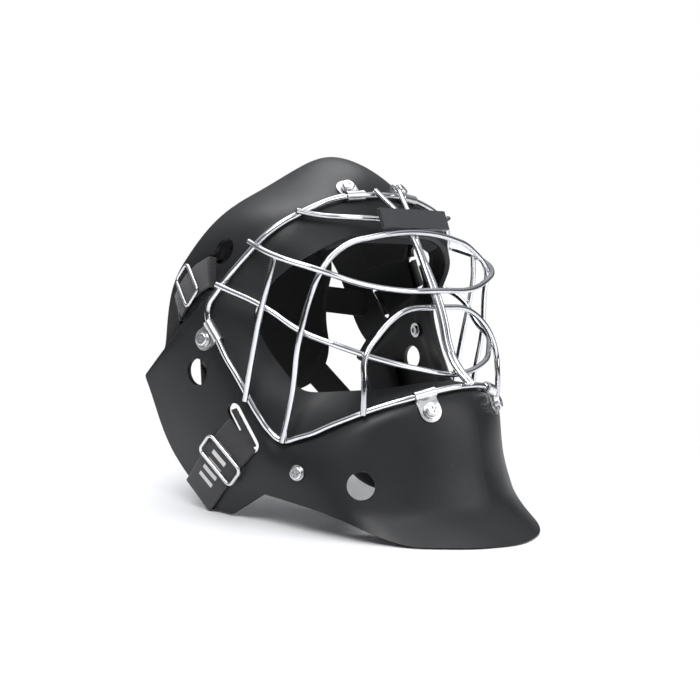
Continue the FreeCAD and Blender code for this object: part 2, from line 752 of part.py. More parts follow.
def fasteners():
    washers, screws, nuts = [], [], []
    on_tab = SEAT + CLIP_THICK + WASHER_LIFT
    places = [(clip_screw_place(name), on_tab) for name in CLIPS] + [(JAW_SCREW, WASHER_LIFT)]
    groups = []
    for where, standing in places:
        origin, normal = half_surface_point(place(*where))
        through = WASHER_THICK + standing + WALL + SEAT + 2 * NUT_THICK
        washer, bolt = screw(origin, normal, standing, through)
        groups.append((washer, bolt, nut(origin, normal)))
    for washer, bolt, fixed in groups:
        washers += [washer, mirrored(washer)]
        screws += [bolt, mirrored(bolt)]
        nuts += [fixed, mirrored(fixed)]
    return {
        "clip_washers": Part.makeCompound(washers[:-2]),
        "clip_screws": Part.makeCompound(screws[:-2]),
        "clip_nuts": Part.makeCompound(nuts[:-2]),
        "jaw_washers": Part.makeCompound(washers[-2:]),
        "jaw_screws": Part.makeCompound(screws[-2:]),
        "jaw_nuts": Part.makeCompound(nuts[-2:]),
    }


# ---------------------------------------------------------------- webbing
LOWER_STRAP = [
    (107.6, 16, 61), (108.4, 35.5, 41.3), (105.5, 52.3, 24.7), (103.2, 62.9, 14.1), (100.5, 73, 4),
]
UPPER_STRAP = [(109.5, 52.5, 171), (109.2, 64, 166), (109, 74, 159.5), (108.5, 82, 152), (108, 89, 144)]
CROWN_STRAP = [(0, 98, 236), (0, 108, 232), (0, 126, 222)]


def skin_stations(spots):
    """Stations on the shell, square to the line through the spots."""
    points = [half_surface_point(place(*spot)) for spot in spots]
    stations = []
    for k, (origin, normal) in enumerate(points):
        ahead = points[min(k + 1, len(points) - 1)][0] - points[max(k - 1, 0)][0]
        across = normal.cross(ahead)
        across.normalize()
        stations.append((origin, across, normal))
    return stations


def ribbon(start, end, across, up, width):
    """A straight length of webbing."""
    run = end - start
    across = across - run * (across.dot(run) / run.dot(run))
    across.normalize()
    face_up = run.cross(across)
    face_up.normalize()
    if face_up.dot(up) < 0:
        face_up = face_up * -1
    corner = start - across * width / 2
    sheet = Part.Face(Part.makePolygon([
        corner, corner + across * width, corner + across * width + run, corner + run, corner,
    ]))
    return sheet.extrude(face_up * STRAP_THICK)


def buckle(spot, towards, lift, width):
    """A rectangle of round wire lying on the webbing."""
    origin, normal, ahead, across = skin_frame(*spot, towards)
    long_half = width / 2 + BUCKLE_MARGIN
    short_half = BUCKLE_LENGTH / 2
    round_over = 4.0
    middle = origin + normal * (lift + BUCKLE_WIRE / 2 + SEAT)
    corners = (across, ahead), (-across, ahead), (-across, -ahead), (across, -ahead)
    legs = (ahead, -across, -ahead, across)
    points, directions = [], []
    for k, (sideways, onward) in enumerate(corners):
        corner = middle + sideways * long_half + onward * short_half
        arrive, leave = legs[k], legs[(k + 1) % 4]
        points += [corner - arrive * round_over, corner + leave * round_over]
        directions += [arrive, leave]
    return round_bar(points + points[:1], directions + directions[:1], BUCKLE_WIRE, closed=True)


def through_slot(slot, slot_end, width, top, bottom):
    """Where webbing dives through a slot: a short upright length in the slot's middle."""
    origin, normal, ahead, across = skin_frame(*slot, slot_end)
    corners = [
        origin + normal * bottom + across * STRAP_THICK / 2 * a + ahead * width / 2 * b
        for a, b in ((-1, -1), (1, -1), (1, 1), (-1, 1), (-1, -1))
    ]
    return Part.Face(Part.makePolygon(corners)).extrude(normal * (top - bottom))


def upper_strap(outer_skin, under):
    """Webbing over the dome, from the front slot through the buckle to the rear slot."""
    strap = outer_skin.common(blade(skin_stations(UPPER_STRAP), UPPER_STRAP_WIDTH, 6))
    for slot, slot_end in ((UPPER_SLOT, UPPER_SLOT_END), (REAR_SLOT, REAR_SLOT_END)):
        dive_top = STRAP_LIFT + STRAP_THICK / 2
        strap = strap.fuse(through_slot(slot, slot_end, UPPER_STRAP_WIDTH, dive_top, under))
    return strap


def lower_strap(outer_skin, under):
    """Webbing from the lower slot down the jaw, wrapped round the shell's rear edge."""
    top = STRAP_LIFT + STRAP_THICK
    edge_way = Vector(0, 0.7, -0.7)
    close_outline, wrap_outline = side_outline(), side_outline()
    close_outline.translate(edge_way * STRAP_LIFT)
    wrap_outline.translate(edge_way * top)
    outside = outer_skin.common(blade(skin_stations(LOWER_STRAP), LOWER_STRAP_WIDTH, 6))
    end_blade = blade(skin_stations(LOWER_STRAP[-3:]), LOWER_STRAP_WIDTH, 12)
    thick_skin = block_between(skin_at(top - 0.4), skin_at(under - STRAP_THICK))
    core = block_between(skin_at(STRAP_LIFT), skin_at(under)).common(close_outline)
    wrap = thick_skin.common(end_blade).cut(core)
    dive = through_slot(LOWER_SLOT, LOWER_SLOT_END, LOWER_STRAP_WIDTH, STRAP_LIFT + 1, under)
    return outside.fuse(wrap).common(wrap_outline).fuse(dive)


def straps():
    top = STRAP_LIFT + STRAP_THICK
    under = -WALL - STRAP_LIFT
    outer_skin = block_between(skin_at(top), skin_at(STRAP_LIFT))
    lower_loop = buckle((108.4, 35.5, 41.3), (103.2, 62.9, 14.1), top, LOWER_STRAP_WIDTH)
    upper_loop = buckle((109, 74, 160), (108.2, 89, 144), top, UPPER_STRAP_WIDTH)
    parts = {}
    for name, shape in (
        ("lower_strap", lower_strap(outer_skin, under)),
        ("upper_strap", upper_strap(outer_skin, under)),
        ("lower_buckle", lower_loop),
        ("upper_buckle", upper_loop),
    ):
        parts[name + "_right"] = shape
        parts[name + "_left"] = mirrored(shape)
    crown_half = outer_skin.common(blade(skin_stations(CROWN_STRAP), CROWN_STRAP_WIDTH, 6))
    parts["crown_strap"] = crown_half.fuse(mirrored(crown_half))
    return parts


# ---------------------------------------------------------------- lining
def lining(sections, columns, thick):
    """Foam moulded to the inside of the wall, over a stretch of sections and columns."""
    def place_at(places, index):
        low = int(index)
        return places[low] + (places[low + 1] - places[low]) * (index - low)

    along, outwards_by = control_places(len(LATTICE)), control_places(len(LATTICE[0]))
    u0, u1 = (place_at(along, section) for section in sections)
    v0, v1 = (place_at(outwards_by, column) for column in columns)
    skins = [skin_at(-WALL - LINER_GAP), skin_at(-WALL - LINER_GAP - thick)]
    for skin in skins:
        skin.segment(u0, u1, v0, v1)
    return block_between(*skins)


def pads():
    brow_half = lining((0, 4), (0, 2), BROW_PAD_THICK)
    crown_half = lining((0, 3), (5, 7), LINER_THICK)
    temple = lining((4.2, 5.6), (6, 7.8), LINER_THICK)
    cheek = lining((9.2, 10.8), (6.6, 7.9), LINER_THICK)
    return {
        "brow_pad": brow_half.fuse(mirrored(brow_half)),
        "crown_pad": crown_half.fuse(mirrored(crown_half)),
        "temple_pad_right": temple,
        "temple_pad_left": mirrored(temple),
        "cheek_pad_right": cheek,
        "cheek_pad_left": mirrored(cheek),
    }


# ---------------------------------------------------------------- back plate
def back_plate_blank(radius, thick, width, height):
    """A piece of a ball, cut to a rounded outline seen from behind."""
    centre = Vector(0, MASK_LENGTH / 2 - PLATE_RADIUS, PLATE_CENTRE_UP)
    ball = Part.makeSphere(radius, centre).cut(Part.makeSphere(radius - thick, centre))
    box = Part.makeBox(width, MASK_LENGTH / 2, height)
    box.translate(Vector(-width / 2, centre.y + 10, PLATE_CENTRE_UP - height / 2))
    corner = min(PLATE_CORNER, width / 2 - 1, height / 2 - 1)
    box = box.makeFillet(corner, [e for e in box.Edges if abs(e.Vertexes[0].Y - e.Vertexes[-1].Y) > 1])
    return ball.common(box)


def oval_hole():
    centre = Vector(0, MASK_LENGTH / 2 - PLATE_RADIUS, PLATE_CENTRE_UP)
    ellipse = Part.Ellipse(centre, PLATE_HOLE_WIDTH / 2, PLATE_HOLE_HEIGHT / 2)
    face = Part.Face(Part.Wire(ellipse.toShape()))
    face.rotate(centre, Vector(1, 0, 0), 90)
    return face.extrude(Vector(0, -2 * MASK_LENGTH, 0)).fuse(face.extrude(Vector(0, 2 * MASK_LENGTH, 0)))


def back_plate_parts():
    hole = oval_hole()
    plate = back_plate_blank(PLATE_RADIUS, PLATE_WALL, PLATE_WIDTH, PLATE_HEIGHT).cut(hole)
    pad_radius = PLATE_RADIUS - PLATE_WALL - SEAT
    pad = back_plate_blank(pad_radius, LINER_THICK, PLATE_WIDTH - 14, PLATE_HEIGHT - 14).cut(hole)
    return {"back_plate": plate, "back_plate_pad": pad}


def on_plate(outboard, up):
    """A place just over the back plate's outer face and the way out of it."""
    centre = Vector(0, MASK_LENGTH / 2 - PLATE_RADIUS, PLATE_CENTRE_UP)
    rise = up - PLATE_CENTRE_UP
    depth = math.sqrt(PLATE_RADIUS**2 - outboard**2 - rise**2)
    way = Vector(-outboard, depth, rise)
    way.normalize()
    return centre + way * (PLATE_RADIUS + SEAT), way


def harness():
    """Elastic webbing between the shell's rear edge and the back plate."""
    parts = {}
    top_end, way = on_plate(0, 196)
    pivot = place(*PLATE_PIVOT)
    parts["top_strap"] = ribbon(pivot, top_end, Vector(1, 0, 0), way, CROWN_STRAP_WIDTH)
    for name, start, (outboard, up), width in (
        ("upper_tail", (98, 98.3, 142.3), (66, 146), UPPER_STRAP_WIDTH),
        ("lower_tail", (91.8, 65.2, 25.8), (52, 96), UPPER_STRAP_WIDTH),
    ):
        end, way = on_plate(outboard, up)
        begin = place(*start)
        across = (end - begin).cross(way)
        tail = ribbon(begin, end, across, way, width)
        parts[name + "_right"] = tail
        parts[name + "_left"] = mirrored(tail)
    return parts


def chin_cup():
    """A padded cup slung from the jaw screws."""
    centre = place(*CUP_CENTRE)
    ball = Part.makeSphere(CUP_RADIUS, centre).cut(Part.makeSphere(CUP_RADIUS - CUP_WALL, centre))
    front = Part.makeBox(4 * CUP_RADIUS, 2 * CUP_RADIUS, 4 * CUP_RADIUS)
    front.translate(centre + Vector(-2 * CUP_RADIUS, -2 * CUP_RADIUS, -2 * CUP_RADIUS))
    front.rotate(centre, Vector(1, 0, 0), 35)
    cup = ball.common(front)
    origin, normal = half_surface_point(place(*JAW_SCREW))
    start = origin - normal * (WALL + NUT_SINK + 3 * NUT_THICK + SEAT)
    end = centre + Vector(-CUP_RADIUS - SLING_GAP, -STRAP_THICK, 0)
    sling = ribbon(start, end, Vector(0, 0, 1), Vector(0, -1, 0), SLING_WIDTH)
    return {"chin_cup": cup, "chin_sling_right": sling, "chin_sling_left": mirrored(sling)}


def main():
    os.makedirs("parts", exist_ok=True)
    nodes = {"shell": build_shell()}
    nodes["cage_frame"] = build_frame()
    nodes.update(cage_bars())
    nodes["cage_centre_wires"] = centre_wires()
    nodes["badge_plate"] = badge_plate()
    nodes.update(clips())
    nodes.update(fasteners())
    nodes.update(straps())
    nodes.update(pads())
    nodes.update(back_plate_parts())
    nodes.update(harness())
    nodes.update(chin_cup())
    for name, shape in nodes.items():
        print(name, shape.isValid(), len(shape.Solids), round(shape.Volume))
        shape.exportStep(f"parts/{name}.step")


if __name__ == "__main__":
    main()
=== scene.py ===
"""Looks for a goalkeeper's mask: finishes, padding, webbing, trim and a soft studio."""
import logging
import math
from dataclasses import dataclass, field
from enum import Enum

import bmesh
import bpy
import numpy as np
from mathutils import Matrix, Vector


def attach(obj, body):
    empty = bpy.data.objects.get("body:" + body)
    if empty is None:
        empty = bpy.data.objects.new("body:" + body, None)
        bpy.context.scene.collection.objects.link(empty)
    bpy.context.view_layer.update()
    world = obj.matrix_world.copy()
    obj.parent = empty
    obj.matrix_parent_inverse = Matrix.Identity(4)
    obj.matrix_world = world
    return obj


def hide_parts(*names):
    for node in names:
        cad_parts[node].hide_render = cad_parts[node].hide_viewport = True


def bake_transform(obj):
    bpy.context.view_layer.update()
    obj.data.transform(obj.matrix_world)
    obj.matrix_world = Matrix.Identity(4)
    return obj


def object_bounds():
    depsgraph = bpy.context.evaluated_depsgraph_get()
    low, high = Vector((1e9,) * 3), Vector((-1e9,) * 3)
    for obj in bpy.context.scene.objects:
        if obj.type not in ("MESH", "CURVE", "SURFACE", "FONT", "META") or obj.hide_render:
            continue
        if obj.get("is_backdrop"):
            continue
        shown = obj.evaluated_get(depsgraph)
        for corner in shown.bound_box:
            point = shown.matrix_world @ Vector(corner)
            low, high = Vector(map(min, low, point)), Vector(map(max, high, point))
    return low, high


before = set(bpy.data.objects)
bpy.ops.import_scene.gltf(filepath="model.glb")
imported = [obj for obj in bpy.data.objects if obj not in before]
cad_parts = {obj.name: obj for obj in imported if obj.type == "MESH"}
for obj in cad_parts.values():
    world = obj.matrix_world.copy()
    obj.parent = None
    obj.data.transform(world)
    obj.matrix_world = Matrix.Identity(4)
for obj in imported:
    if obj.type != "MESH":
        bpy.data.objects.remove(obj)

LOG = logging.getLogger("scene")

Colour = tuple[float, float, float]


def write_size() -> None:
    """Updates the scene's view layer."""
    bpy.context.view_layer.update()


write_size()


class Side(Enum):
    """The wearer's two sides, as they end a node's name."""

    RIGHT = "right"
    LEFT = "left"


# ---------------------------------------------------------------- effects
GRAIN_FINENESS = 2600.0
PEBBLE_SPAN = (0.0, 0.6)
TONE_SCALE = 26.0
TONE_SPAN = (0.3, 0.7)
WEAR_SCALE = 140.0
WEAR_SPAN = (0.66, 0.80)
FUZZ_SCALE = 900.0
TAPE_PITCH = 0.0012


@dataclass
class NodeTree:
    """A thin wrapper that adds and links shader nodes in one tree."""

    tree: bpy.types.NodeTree

    def add(self, kind: str, **settings) -> bpy.types.Node:
        """Adds a node.

        Args:
            kind: The node's Blender type name.
            settings: Properties to set on the node.

        Returns:
            The new node.
        """
        node = self.tree.nodes.new(kind)
        for key, value in settings.items():
            setattr(node, key, value)
        return node

    def link(self, source: bpy.types.NodeSocket, target: bpy.types.NodeSocket) -> None:
        """Joins an output socket to an input socket.

        Args:
            source: The output.
            target: The input.
        """
        self.tree.links.new(source, target)

    def math(self, operation: str, first, second=None) -> bpy.types.NodeSocket:
        """Adds a maths node.

        Args:
            operation: The operation's name.
            first: A socket or a number.
            second: A socket or a number, where the operation takes two.

        Returns:
            The result's socket.
        """
        node = self.add("ShaderNodeMath", operation=operation)
        for socket, value in zip(node.inputs, (first, second)):
            if isinstance(value, bpy.types.NodeSocket):
                self.link(value, socket)
            elif value is not None:
                socket.default_value = value
        return node.outputs[0]

    def ramp(self, factor: bpy.types.NodeSocket, low: float, high: float) -> bpy.types.NodeSocket:
        """Stretches a value between two limits to the span from nought to one.

        Args:
            factor: The value.
            low: What becomes nought.
            high: What becomes one.

        Returns:
            The stretched value's socket.
        """
        node = self.add("ShaderNodeMapRange")
        self.link(factor, node.inputs["Value"])
        node.inputs["From Min"].default_value = low
        node.inputs["From Max"].default_value = high
        return node.outputs["Result"]

    def mix(self, factor, first, second) -> bpy.types.NodeSocket:
        """Mixes two colours.

        Args:
            factor: The share of the second colour, as a socket.
            first: A colour or a socket.
            second: A colour or a socket.

        Returns:
            The mixed colour's socket.
        """
        node = self.add("ShaderNodeMix", data_type="RGBA")
        self.link(factor, node.inputs["Factor"])
        for socket, value in zip((node.inputs[6], node.inputs[7]), (first, second)):
            if isinstance(value, bpy.types.NodeSocket):
                self.link(value, socket)
            else:
                socket.default_value = (*value, 1.0)
        return node.outputs[2]


def effect_group(
    name: str, inputs: dict[str, float], outputs: list[str]
) -> tuple[NodeTree, dict, dict]:
    """Makes a node group that takes a place and some values, and gives values.

    Args:
        name: The group's name.
        inputs: Each value input and its default.
        outputs: The names of the value outputs.

    Returns:
        The tree, its input sockets by name and its output sockets by name.
    """
    group = bpy.data.node_groups.new(name, "ShaderNodeTree")
    group.interface.new_socket("Place", in_out="INPUT", socket_type="NodeSocketVector")
    for label, value in inputs.items():
        socket = group.interface.new_socket(label, in_out="INPUT", socket_type="NodeSocketFloat")
        socket.default_value = value
    for label in outputs:
        group.interface.new_socket(label, in_out="OUTPUT", socket_type="NodeSocketFloat")
    tree = NodeTree(group)
    entry, leave = tree.add("NodeGroupInput"), tree.add("NodeGroupOutput")
    return tree, {s.name: s for s in entry.outputs}, {s.name: s for s in leave.inputs}


def noise_in(tree: NodeTree, place, scale: float, detail: float) -> bpy.types.NodeSocket:
    """Adds a noise texture.

    Args:
        tree: The tree to add to.
        place: The socket that gives the place.
        scale: Bumps per metre.
        detail: Octaves.

    Returns:
        The noise's value.
    """
    node = tree.add("ShaderNodeTexNoise")
    tree.link(place, node.inputs["Vector"])
    node.inputs["Scale"].default_value = scale
    node.inputs["Detail"].default_value = detail
    return node.outputs["Fac"]


def grain_group() -> bpy.types.NodeTree:
    """A moulded grain with broad tone changes and rubbed spots.

    Returns:
        The node group, giving Height, Tone and Wear.
    """
    tree, entry, leave = effect_group(
        "grain", {"Fineness": GRAIN_FINENESS}, ["Height", "Tone", "Wear"]
    )
    pebble = tree.add("ShaderNodeTexVoronoi", feature="SMOOTH_F1")
    tree.link(entry["Place"], pebble.inputs["Vector"])
    tree.link(entry["Fineness"], pebble.inputs["Scale"])
    tree.link(tree.ramp(pebble.outputs["Distance"], *PEBBLE_SPAN), leave["Height"])
    broad = noise_in(tree, entry["Place"], TONE_SCALE, detail=3.0)
    tree.link(tree.ramp(broad, *TONE_SPAN), leave["Tone"])
    spots = noise_in(tree, entry["Place"], WEAR_SCALE, detail=8.0)
    tree.link(tree.ramp(spots, *WEAR_SPAN), leave["Wear"])
    return tree.tree


def weave_group() -> bpy.types.NodeTree:
    """Flat webbing: ribs that cross threads.

    Returns:
        The node group, giving Height and Thread.
    """
    tree, entry, leave = effect_group("weave", {"Pitch": TAPE_PITCH}, ["Height", "Thread"])
    parts = tree.add("ShaderNodeSeparateXYZ")
    tree.link(entry["Place"], parts.inputs[0])
    turn = tree.math("DIVIDE", 2 * math.pi, entry["Pitch"])
    ribs = tree.math("SINE", tree.math("MULTIPLY", parts.outputs[0], turn))
    threads = tree.math("SINE", tree.math("MULTIPLY", parts.outputs[1], turn))
    crossed = tree.math("MULTIPLY", ribs, threads)
    height = tree.math("ADD", tree.math("MULTIPLY", crossed, 0.5), 0.5)
    tree.link(height, leave["Height"])
    fuzz = noise_in(tree, entry["Place"], FUZZ_SCALE, detail=2.0)
    tree.link(tree.math("MULTIPLY", height, fuzz), leave["Thread"])
    return tree.tree


GROUPS: dict[str, bpy.types.NodeTree] = {}


def shared(name: str) -> bpy.types.NodeTree:
    """Gives a shared effect, made once.

    Args:
        name: Which effect, grain or weave.

    Returns:
        The node group.
    """
    makers = {"grain": grain_group, "weave": weave_group}
    if name not in GROUPS:
        GROUPS[name] = makers[name]()
    return GROUPS[name]


# ---------------------------------------------------------------- finishes
BUMP_DEPTH = 0.0004
COAT_ROUGHNESS = 0.12
TONE_SHADE = 0.82
TONE_ROUGHNESS = 0.06
TAPE_ROUGHNESS = 0.8
TAPE_SHEEN = 0.25
TAPE_RELIEF = 0.6
THREAD_GAIN = 2.2
THREAD_LIFT = 0.01
PRINT_COLOUR = (0.62, 0.62, 0.61)
PRINT_EDGE = 0.1
BAR_SPACING = 0.0085
BAR_SPREAD = 0.021


@dataclass(frozen=True)
class Finish:
    """A moulded or metal finish.

    Attributes:
        name: The material's name.
        colour: Main colour.
        worn: Colour of rubbed spots.
        metallic: How metallic it is.
        roughness: Roughness of the clean surface.
        fineness: Grain bumps per metre.
        relief: Strength of the grain.
        coat: Strength of a clear coat.
        specular: Strength of the plain reflection.
    """

    name: str
    colour: Colour
    worn: Colour
    metallic: float = 0.0
    roughness: float = 0.4
    fineness: float = GRAIN_FINENESS
    relief: float = 0.1
    coat: float = 0.0
    specular: float = 0.5

    def build(self) -> bpy.types.Material:
        """Builds the material.

        Returns:
            The material.
        """
        material = bpy.data.materials.new(self.name)
        material.use_nodes = True
        tree = NodeTree(material.node_tree)
        shader = material.node_tree.nodes["Principled BSDF"]
        place = tree.add("ShaderNodeTexCoord").outputs["Object"]
        grain = tree.add("ShaderNodeGroup", node_tree=shared("grain"))
        tree.link(place, grain.inputs["Place"])
        grain.inputs["Fineness"].default_value = self.fineness
        darker = tuple(c * TONE_SHADE for c in self.colour)
        tone = tree.mix(grain.outputs["Tone"], darker, self.colour)
        tree.link(tree.mix(grain.outputs["Wear"], tone, self.worn), shader.inputs["Base Color"])
        uneven = tree.math("MULTIPLY", grain.outputs["Tone"], TONE_ROUGHNESS)
        rough = tree.math("ADD", uneven, self.roughness)
        tree.link(rough, shader.inputs["Roughness"])
        shader.inputs["Metallic"].default_value = self.metallic
        shader.inputs["Specular IOR Level"].default_value = self.specular
        shader.inputs["Coat Weight"].default_value = self.coat
        shader.inputs["Coat Roughness"].default_value = COAT_ROUGHNESS
        bump = tree.add("ShaderNodeBump")
        bump.inputs["Strength"].default_value = self.relief
        bump.inputs["Distance"].default_value = BUMP_DEPTH
        tree.link(grain.outputs["Height"], bump.inputs["Height"])
        tree.link(bump.outputs["Normal"], shader.inputs["Normal"])
        return material


@dataclass(frozen=True)
class Webbing:
    """Woven tape whose threads follow the tape's own directions.

    Attributes:
        name: The material's name.
        colour: Thread colour.
        pitch: Thread spacing in metres.
        bars: Length of the printed bars in metres, or nought for none.
    """

    name: str
    colour: Colour
    pitch: float = TAPE_PITCH
    bars: float = 0.0

    def print_mask(
        self, tree: NodeTree, joined: bpy.types.NodeSocket, middle: Vector
    ) -> bpy.types.NodeSocket:
        """Makes a mask of plain printed bars across the tape.

        Args:
            tree: The material's tree.
            joined: The place along, across and through the tape.
            middle: The tape's middle in the same directions.

        Returns:
            One where the print is.
        """
        parts = tree.add("ShaderNodeSeparateXYZ")
        tree.link(joined, parts.inputs[0])
        along = tree.math("SUBTRACT", parts.outputs[0], middle[0])
        across = tree.math("ABSOLUTE", tree.math("SUBTRACT", parts.outputs[1], middle[1]))
        wave = tree.math("SINE", tree.math("MULTIPLY", along, 2 * math.pi / BAR_SPACING))
        inside = tree.math("LESS_THAN", across, self.bars / 2)
        near = tree.math("LESS_THAN", tree.math("ABSOLUTE", along), BAR_SPREAD)
        bars = tree.math("MULTIPLY", tree.math("GREATER_THAN", wave, PRINT_EDGE), inside)
        return tree.math("MULTIPLY", bars, near)

    def build(self, axes: Matrix, middle: Vector) -> bpy.types.Material:
        """Builds the material.

        Args:
            axes: Rows are the tape's directions along, across and through.
            middle: The tape's middle in those directions.

        Returns:
            The material.
        """
        material = bpy.data.materials.new(self.name)
        material.use_nodes = True
        tree = NodeTree(material.node_tree)
        shader = material.node_tree.nodes["Principled BSDF"]
        place = tree.add("ShaderNodeTexCoord").outputs["Object"]
        joined = tree.add("ShaderNodeCombineXYZ")
        for k in range(3):
            dot = tree.add("ShaderNodeVectorMath", operation="DOT_PRODUCT")
            tree.link(place, dot.inputs[0])
            dot.inputs[1].default_value = axes[k]
            tree.link(dot.outputs["Value"], joined.inputs[k])
        weave = tree.add("ShaderNodeGroup", node_tree=shared("weave"))
        tree.link(joined.outputs[0], weave.inputs["Place"])
        weave.inputs["Pitch"].default_value = self.pitch
        light = tuple(min(1.0, c * THREAD_GAIN + THREAD_LIFT) for c in self.colour)
        threads = tree.mix(weave.outputs["Thread"], self.colour, light)
        if self.bars:
            threads = tree.mix(self.print_mask(tree, joined.outputs[0], middle), threads, PRINT_COLOUR)
        tree.link(threads, shader.inputs["Base Color"])
        shader.inputs["Roughness"].default_value = TAPE_ROUGHNESS
        shader.inputs["Sheen Weight"].default_value = TAPE_SHEEN
        bump = tree.add("ShaderNodeBump")
        bump.inputs["Strength"].default_value = TAPE_RELIEF
        bump.inputs["Distance"].default_value = BUMP_DEPTH
        tree.link(weave.outputs["Height"], bump.inputs["Height"])
        tree.link(bump.outputs["Normal"], shader.inputs["Normal"])
        return material


SHELL = Finish(
    "shell_grained", (0.0115, 0.012, 0.013), (0.019, 0.02, 0.021),
    roughness=0.36, relief=0.16, specular=0.3,
)
CHROME = Finish(
    "bright_wire", (0.68, 0.69, 0.71), (0.52, 0.53, 0.55),
    metallic=1.0, roughness=0.06, fineness=900.0, relief=0.02,
)
STEEL = Finish(
    "satin_steel", (0.70, 0.70, 0.71), (0.55, 0.55, 0.56),
    metallic=1.0, roughness=0.24, fineness=3800.0, relief=0.06,
)
BADGE = Finish(
    "badge_plate", (0.035, 0.037, 0.04), (0.06, 0.062, 0.065),
    metallic=0.2, roughness=0.34, fineness=3200.0, relief=0.08, coat=0.3,
)
PLATE = Finish(
    "plate_grained", (0.014, 0.0145, 0.016), (0.024, 0.025, 0.026),
    roughness=0.42, relief=0.24,
)
FOAM = Finish(
    "foam_cloth", (0.016, 0.016, 0.018), (0.03, 0.03, 0.033),
    roughness=0.85, fineness=1500.0, relief=0.5,
)
CUP = Finish(
    "cup_rubber", (0.018, 0.018, 0.02), (0.03, 0.03, 0.033),
    roughness=0.6, fineness=1900.0, relief=0.3,
)
TAPE = Webbing("black_webbing", (0.010, 0.010, 0.011))
PRINTED_TAPE = Webbing("printed_webbing", (0.010, 0.010, 0.011), bars=0.014)


# ---------------------------------------------------------------- mesh helpers
MERGE_DISTANCE = 1e-5
TAPE_ROUNDS = 2


def apply_modifiers(piece: bpy.types.Object) -> None:
    """Applies every modifier on a piece.

    Args:
        piece: The piece.
    """
    bpy.ops.object.select_all(action="DESELECT")
    piece.select_set(True)
    bpy.context.view_layer.objects.active = piece
    for modifier in list(piece.modifiers):
        bpy.ops.object.modifier_apply(modifier=modifier.name)


def merged_copy(node: str, name: str) -> bpy.types.Object:
    """Copies a node's mesh into a new piece with its corners joined.

    Args:
        node: The node to copy.
        name: The new piece's name.

    Returns:
        The new piece.
    """
    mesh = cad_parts[node].data.copy()
    mesh.materials.clear()
    shape = bmesh.new()
    shape.from_mesh(mesh)
    bmesh.ops.remove_doubles(shape, verts=shape.verts, dist=MERGE_DISTANCE)
    bmesh.ops.recalc_face_normals(shape, faces=shape.faces)
    shape.to_mesh(mesh)
    shape.free()
    mesh.name = name
    piece = bpy.data.objects.new(name, mesh)
    bpy.context.scene.collection.objects.link(piece)
    return piece


def soft_copy(node: str, name: str, voxel: float, rounds: int) -> bpy.types.Object:
    """Copies a node into a new piece with rounded edges, and leaves it selected.

    Args:
        node: The node to copy.
        name: The new piece's name.
        voxel: Size of the remesh cells in metres.
        rounds: How far the edges are rounded.

    Returns:
        The new piece.
    """
    piece = merged_copy(node, name)
    remesh = piece.modifiers.new("remesh", "REMESH")
    remesh.mode = "VOXEL"
    remesh.voxel_size = voxel
    smooth = piece.modifiers.new("smooth", "SMOOTH")
    smooth.iterations = rounds
    apply_modifiers(piece)
    return piece


def tape_axes(piece: bpy.types.Object) -> Matrix:
    """Finds a flat piece's directions from the spread of its corners.

    Args:
        piece: The piece.

    Returns:
        Rows along, across and through the piece.
    """
    count = len(piece.data.vertices)
    places = np.empty(count * 3)
    piece.data.vertices.foreach_get("co", places)
    places = places.reshape(count, 3)
    _, directions = np.linalg.eigh(np.cov((places - places.mean(axis=0)).T))
    return Matrix([Vector(directions[:, k]) for k in (2, 1, 0)])


# ---------------------------------------------------------------- sub-assemblies
@dataclass
class HardParts:
    """The moulded and metal nodes, which keep their own meshes."""

    finishes: dict[str, Finish] = field(default_factory=lambda: {
        "shell": SHELL,
        "cage_": CHROME,
        "badge_plate": BADGE,
        "clip_": STEEL,
        "jaw_": STEEL,
        "lower_buckle": STEEL,
        "upper_buckle": STEEL,
        "back_plate": PLATE,
    })

    def dress(self) -> None:
        """Gives every hard node its finish."""
        made = {}
        for name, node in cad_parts.items():
            for start, finish in self.finishes.items():
                if name.startswith(start) and name not in SOFT_NODES:
                    made.setdefault(finish.name, finish.build())
                    node.data.materials.clear()
                    node.data.materials.append(made[finish.name])


@dataclass
class Cushion:
    """A foam pad or cup with rounded edges.

    Attributes:
        node: The node it stands for.
        body: The body it rides on.
        finish: Its finish.
        slot: The name of a material slot; not used.
        voxel: Size of the remesh cells in metres.
        rounds: How far the edges are rounded.
        fill: How full it is; not used.
    """

    node: str
    body: str = "mask"
    finish: Finish = FOAM
    slot: str = "foam"
    voxel: float = 0.0016
    rounds: int = 14
    fill: float = 0.7

    def build(self) -> bpy.types.Object:
        """Returns:
            The pad.
        """
        piece = soft_copy(self.node, self.node + "_cushion", self.voxel, self.rounds)
        piece.data.materials.append(self.finish.build())
        bpy.ops.object.shade_smooth()
        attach(piece, self.body)
        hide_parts(self.node)
        return piece


@dataclass
class Strap:
    """A length of woven webbing.

    Attributes:
        node: The node it stands for.
        body: The body it rides on.
        voxel: Size of the remesh cells in metres.
        tape: Its webbing.
        crosses: Whether it stretches from the mask to the back plate.
    """

    node: str
    body: str = "mask"
    voxel: float = 0.0006
    tape: Webbing = TAPE
    crosses: bool = False

    def build(self) -> bpy.types.Object:
        """Builds the strap.

        Returns:
            The strap.
        """
        piece = soft_copy(self.node, self.node + "_webbing", self.voxel, TAPE_ROUNDS)
        axes = tape_axes(piece)
        corners = [Vector(corner) for corner in piece.bound_box]
        middle = axes @ (sum(corners, Vector()) / len(corners))
        piece.data.materials.append(self.tape.build(axes, middle))
        bpy.ops.object.shade_smooth()
        if self.crosses:
            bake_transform(piece)
        else:
            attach(piece, self.body)
        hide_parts(self.node)
        return piece


